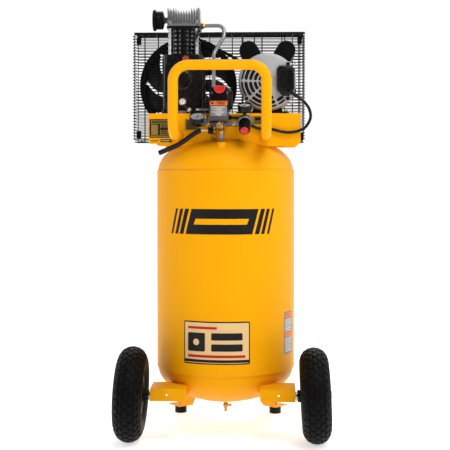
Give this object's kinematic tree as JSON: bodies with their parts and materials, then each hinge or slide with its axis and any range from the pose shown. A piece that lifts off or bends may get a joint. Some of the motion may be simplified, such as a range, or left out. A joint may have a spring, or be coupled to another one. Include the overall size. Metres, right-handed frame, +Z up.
{
  "type": "vertical tank air compressor",
  "caption": "Wheeled vertical air tank with a belt-driven piston pump and motor on a platform behind a tube handle, with a pressure switch, gauges, a regulator and a wire belt guard.",
  "frame": {"origin": "on the ground, under the middle of the object's box", "axes": "+Z up, +X to the right of a person facing the controls, +Y towards the belt guard"},
  "size_m": [0.61, 0.573, 1.238],
  "materials": {
    "yellow_paint": "semi-gloss powder coat",
    "rubber": "matt black rubber",
    "tyre": "matt black tyre rubber",
    "black_paint": "gloss black enamel",
    "black_iron": "black painted casting",
    "black_plastic": "fine-grained black plastic",
    "grey_metal": "dark grey painted die casting",
    "red_plastic": "glossy red plastic",
    "brass": "turned brass",
    "steel": "zinc plated steel",
    "aluminium": "as-cast aluminium"
  },
  "bodies": {
    "root": {"tank_shell": "yellow_paint", "tank_top_head": "yellow_paint", "tank_bottom_head": "yellow_paint", "platform": "yellow_paint", "handle": "yellow_paint", "left_wheel_bracket": "yellow_paint", "right_wheel_bracket": "yellow_paint", "left_axle_bolt": "steel", "right_axle_bolt": "steel", "left_foot_bracket": "yellow_paint", "right_foot_bracket": "yellow_paint", "left_rubber_foot": "rubber", "right_rubber_foot": "rubber", "drain_valve_body": "brass", "standpipe": "steel", "manifold": "grey_metal", "switch_base": "grey_metal", "switch_cover": "black_plastic", "safety_valve_body": "brass", "check_valve": "brass", "discharge_tube": "aluminium", "bleed_hose": "rubber", "hose_fitting": "black_plastic", "motor_cord": "rubber", "regulator_body": "aluminium", "tank_gauge_case": "black_plastic", "outlet_gauge_case": "black_plastic", "crankcase": "black_iron", "bearing_cap": "black_iron", "sight_glass": "steel", "cylinder": "black_paint", "valve_plate": "black_paint", "cylinder_head": "aluminium", "intake_filter": "black_plastic", "motor_shell": "aluminium", "motor_front_bell": "aluminium", "left_capacitor_cover": "black_plastic", "right_capacitor_cover": "black_plastic", "terminal_cover": "black_plastic", "motor_base": "black_paint", "guard_front": "black_paint", "guard_rear": "black_paint", "v_belt": "rubber"},
    "left_wheel": {"left_tyre": "tyre", "left_rim": "black_paint"},
    "right_wheel": {"right_tyre": "tyre", "right_rim": "black_paint"},
    "crank": {"crankshaft": "steel", "flywheel": "black_iron"},
    "rotor": {"motor_rotor": "steel", "motor_pulley": "black_iron"},
    "piston_rod": {"piston": "aluminium", "connecting_rod": "aluminium"},
    "oil_cap": {"oil_fill_cap": "red_plastic"},
    "on_off_knob": {"switch_knob": "red_plastic"},
    "pull_ring": {"safety_ring": "steel"},
    "regulator_dial": {"regulator_knob": "black_plastic"},
    "drain_handle": {"drain_lever": "black_plastic"},
    "tank_needle": {"tank_gauge_needle": "black_plastic"},
    "outlet_needle": {"outlet_gauge_needle": "black_plastic"}
  },
  "joints": [
    {"name": "left_wheel_spin", "type": "hinge", "parent": "root", "child": "left_wheel", "pos_m": [-0.258, -0.1535, 0.1329], "axis": [0.999, 0, -0.0436], "continuous": true},
    {"name": "right_wheel_spin", "type": "hinge", "parent": "root", "child": "right_wheel", "pos_m": [0.258, -0.1535, 0.1329], "axis": [0.999, 0, 0.0436], "continuous": true},
    {"name": "crank_spin", "type": "hinge", "parent": "root", "child": "crank", "pos_m": [-0.122, 0.2015, 1.022], "axis": [0, -1, 0], "continuous": true},
    {"name": "motor_spin", "type": "hinge", "parent": "root", "child": "rotor", "pos_m": [0.124, 0.2015, 1.018], "axis": [0, -1, 0], "continuous": true},
    {"name": "piston_stroke", "type": "slide", "parent": "root", "child": "piston_rod", "axis": [0, 0, 1], "range_m": [-0.04, 0]},
    {"name": "oil_cap_turn", "type": "hinge", "parent": "root", "child": "oil_cap", "pos_m": [-0.112, -0.0385, 1.083], "axis": [0, -1, 0], "range_deg": [0, 90]},
    {"name": "on_off_turn", "type": "hinge", "parent": "root", "child": "on_off_knob", "pos_m": [-0.0105, -0.1225, 0.9935], "axis": [0, -1, 0], "range_deg": [0, 90]},
    {"name": "safety_ring_pull", "type": "slide", "parent": "root", "child": "pull_ring", "axis": [0, -1, 0], "range_m": [0, 0.003], "stiffness_N_per_m": 2000},
    {"name": "regulator_turn", "type": "hinge", "parent": "root", "child": "regulator_dial", "pos_m": [0.06, -0.0855, 0.9015], "axis": [0, -0.8387, -0.5446], "range_deg": [-360, 360]},
    {"name": "drain_turn", "type": "hinge", "parent": "root", "child": "drain_handle", "pos_m": [0, 0.0465, 0.062], "axis": [1, 0, 0], "range_deg": [0, 90]},
    {"name": "tank_needle_turn", "type": "hinge", "parent": "root", "child": "tank_needle", "pos_m": [-0.0745, -0.0875, 0.917], "axis": [0, -0.5299, 0.848], "range_deg": [-270, 0]},
    {"name": "outlet_needle_turn", "type": "hinge", "parent": "root", "child": "outlet_needle", "pos_m": [0.06, -0.0985, 0.948], "axis": [0, -0.3907, 0.9205], "range_deg": [-270, 0]}
  ],
  "couplings": [
    {"joint": "motor_spin", "follows": "crank_spin", "ratio": 4.619}
  ]
}
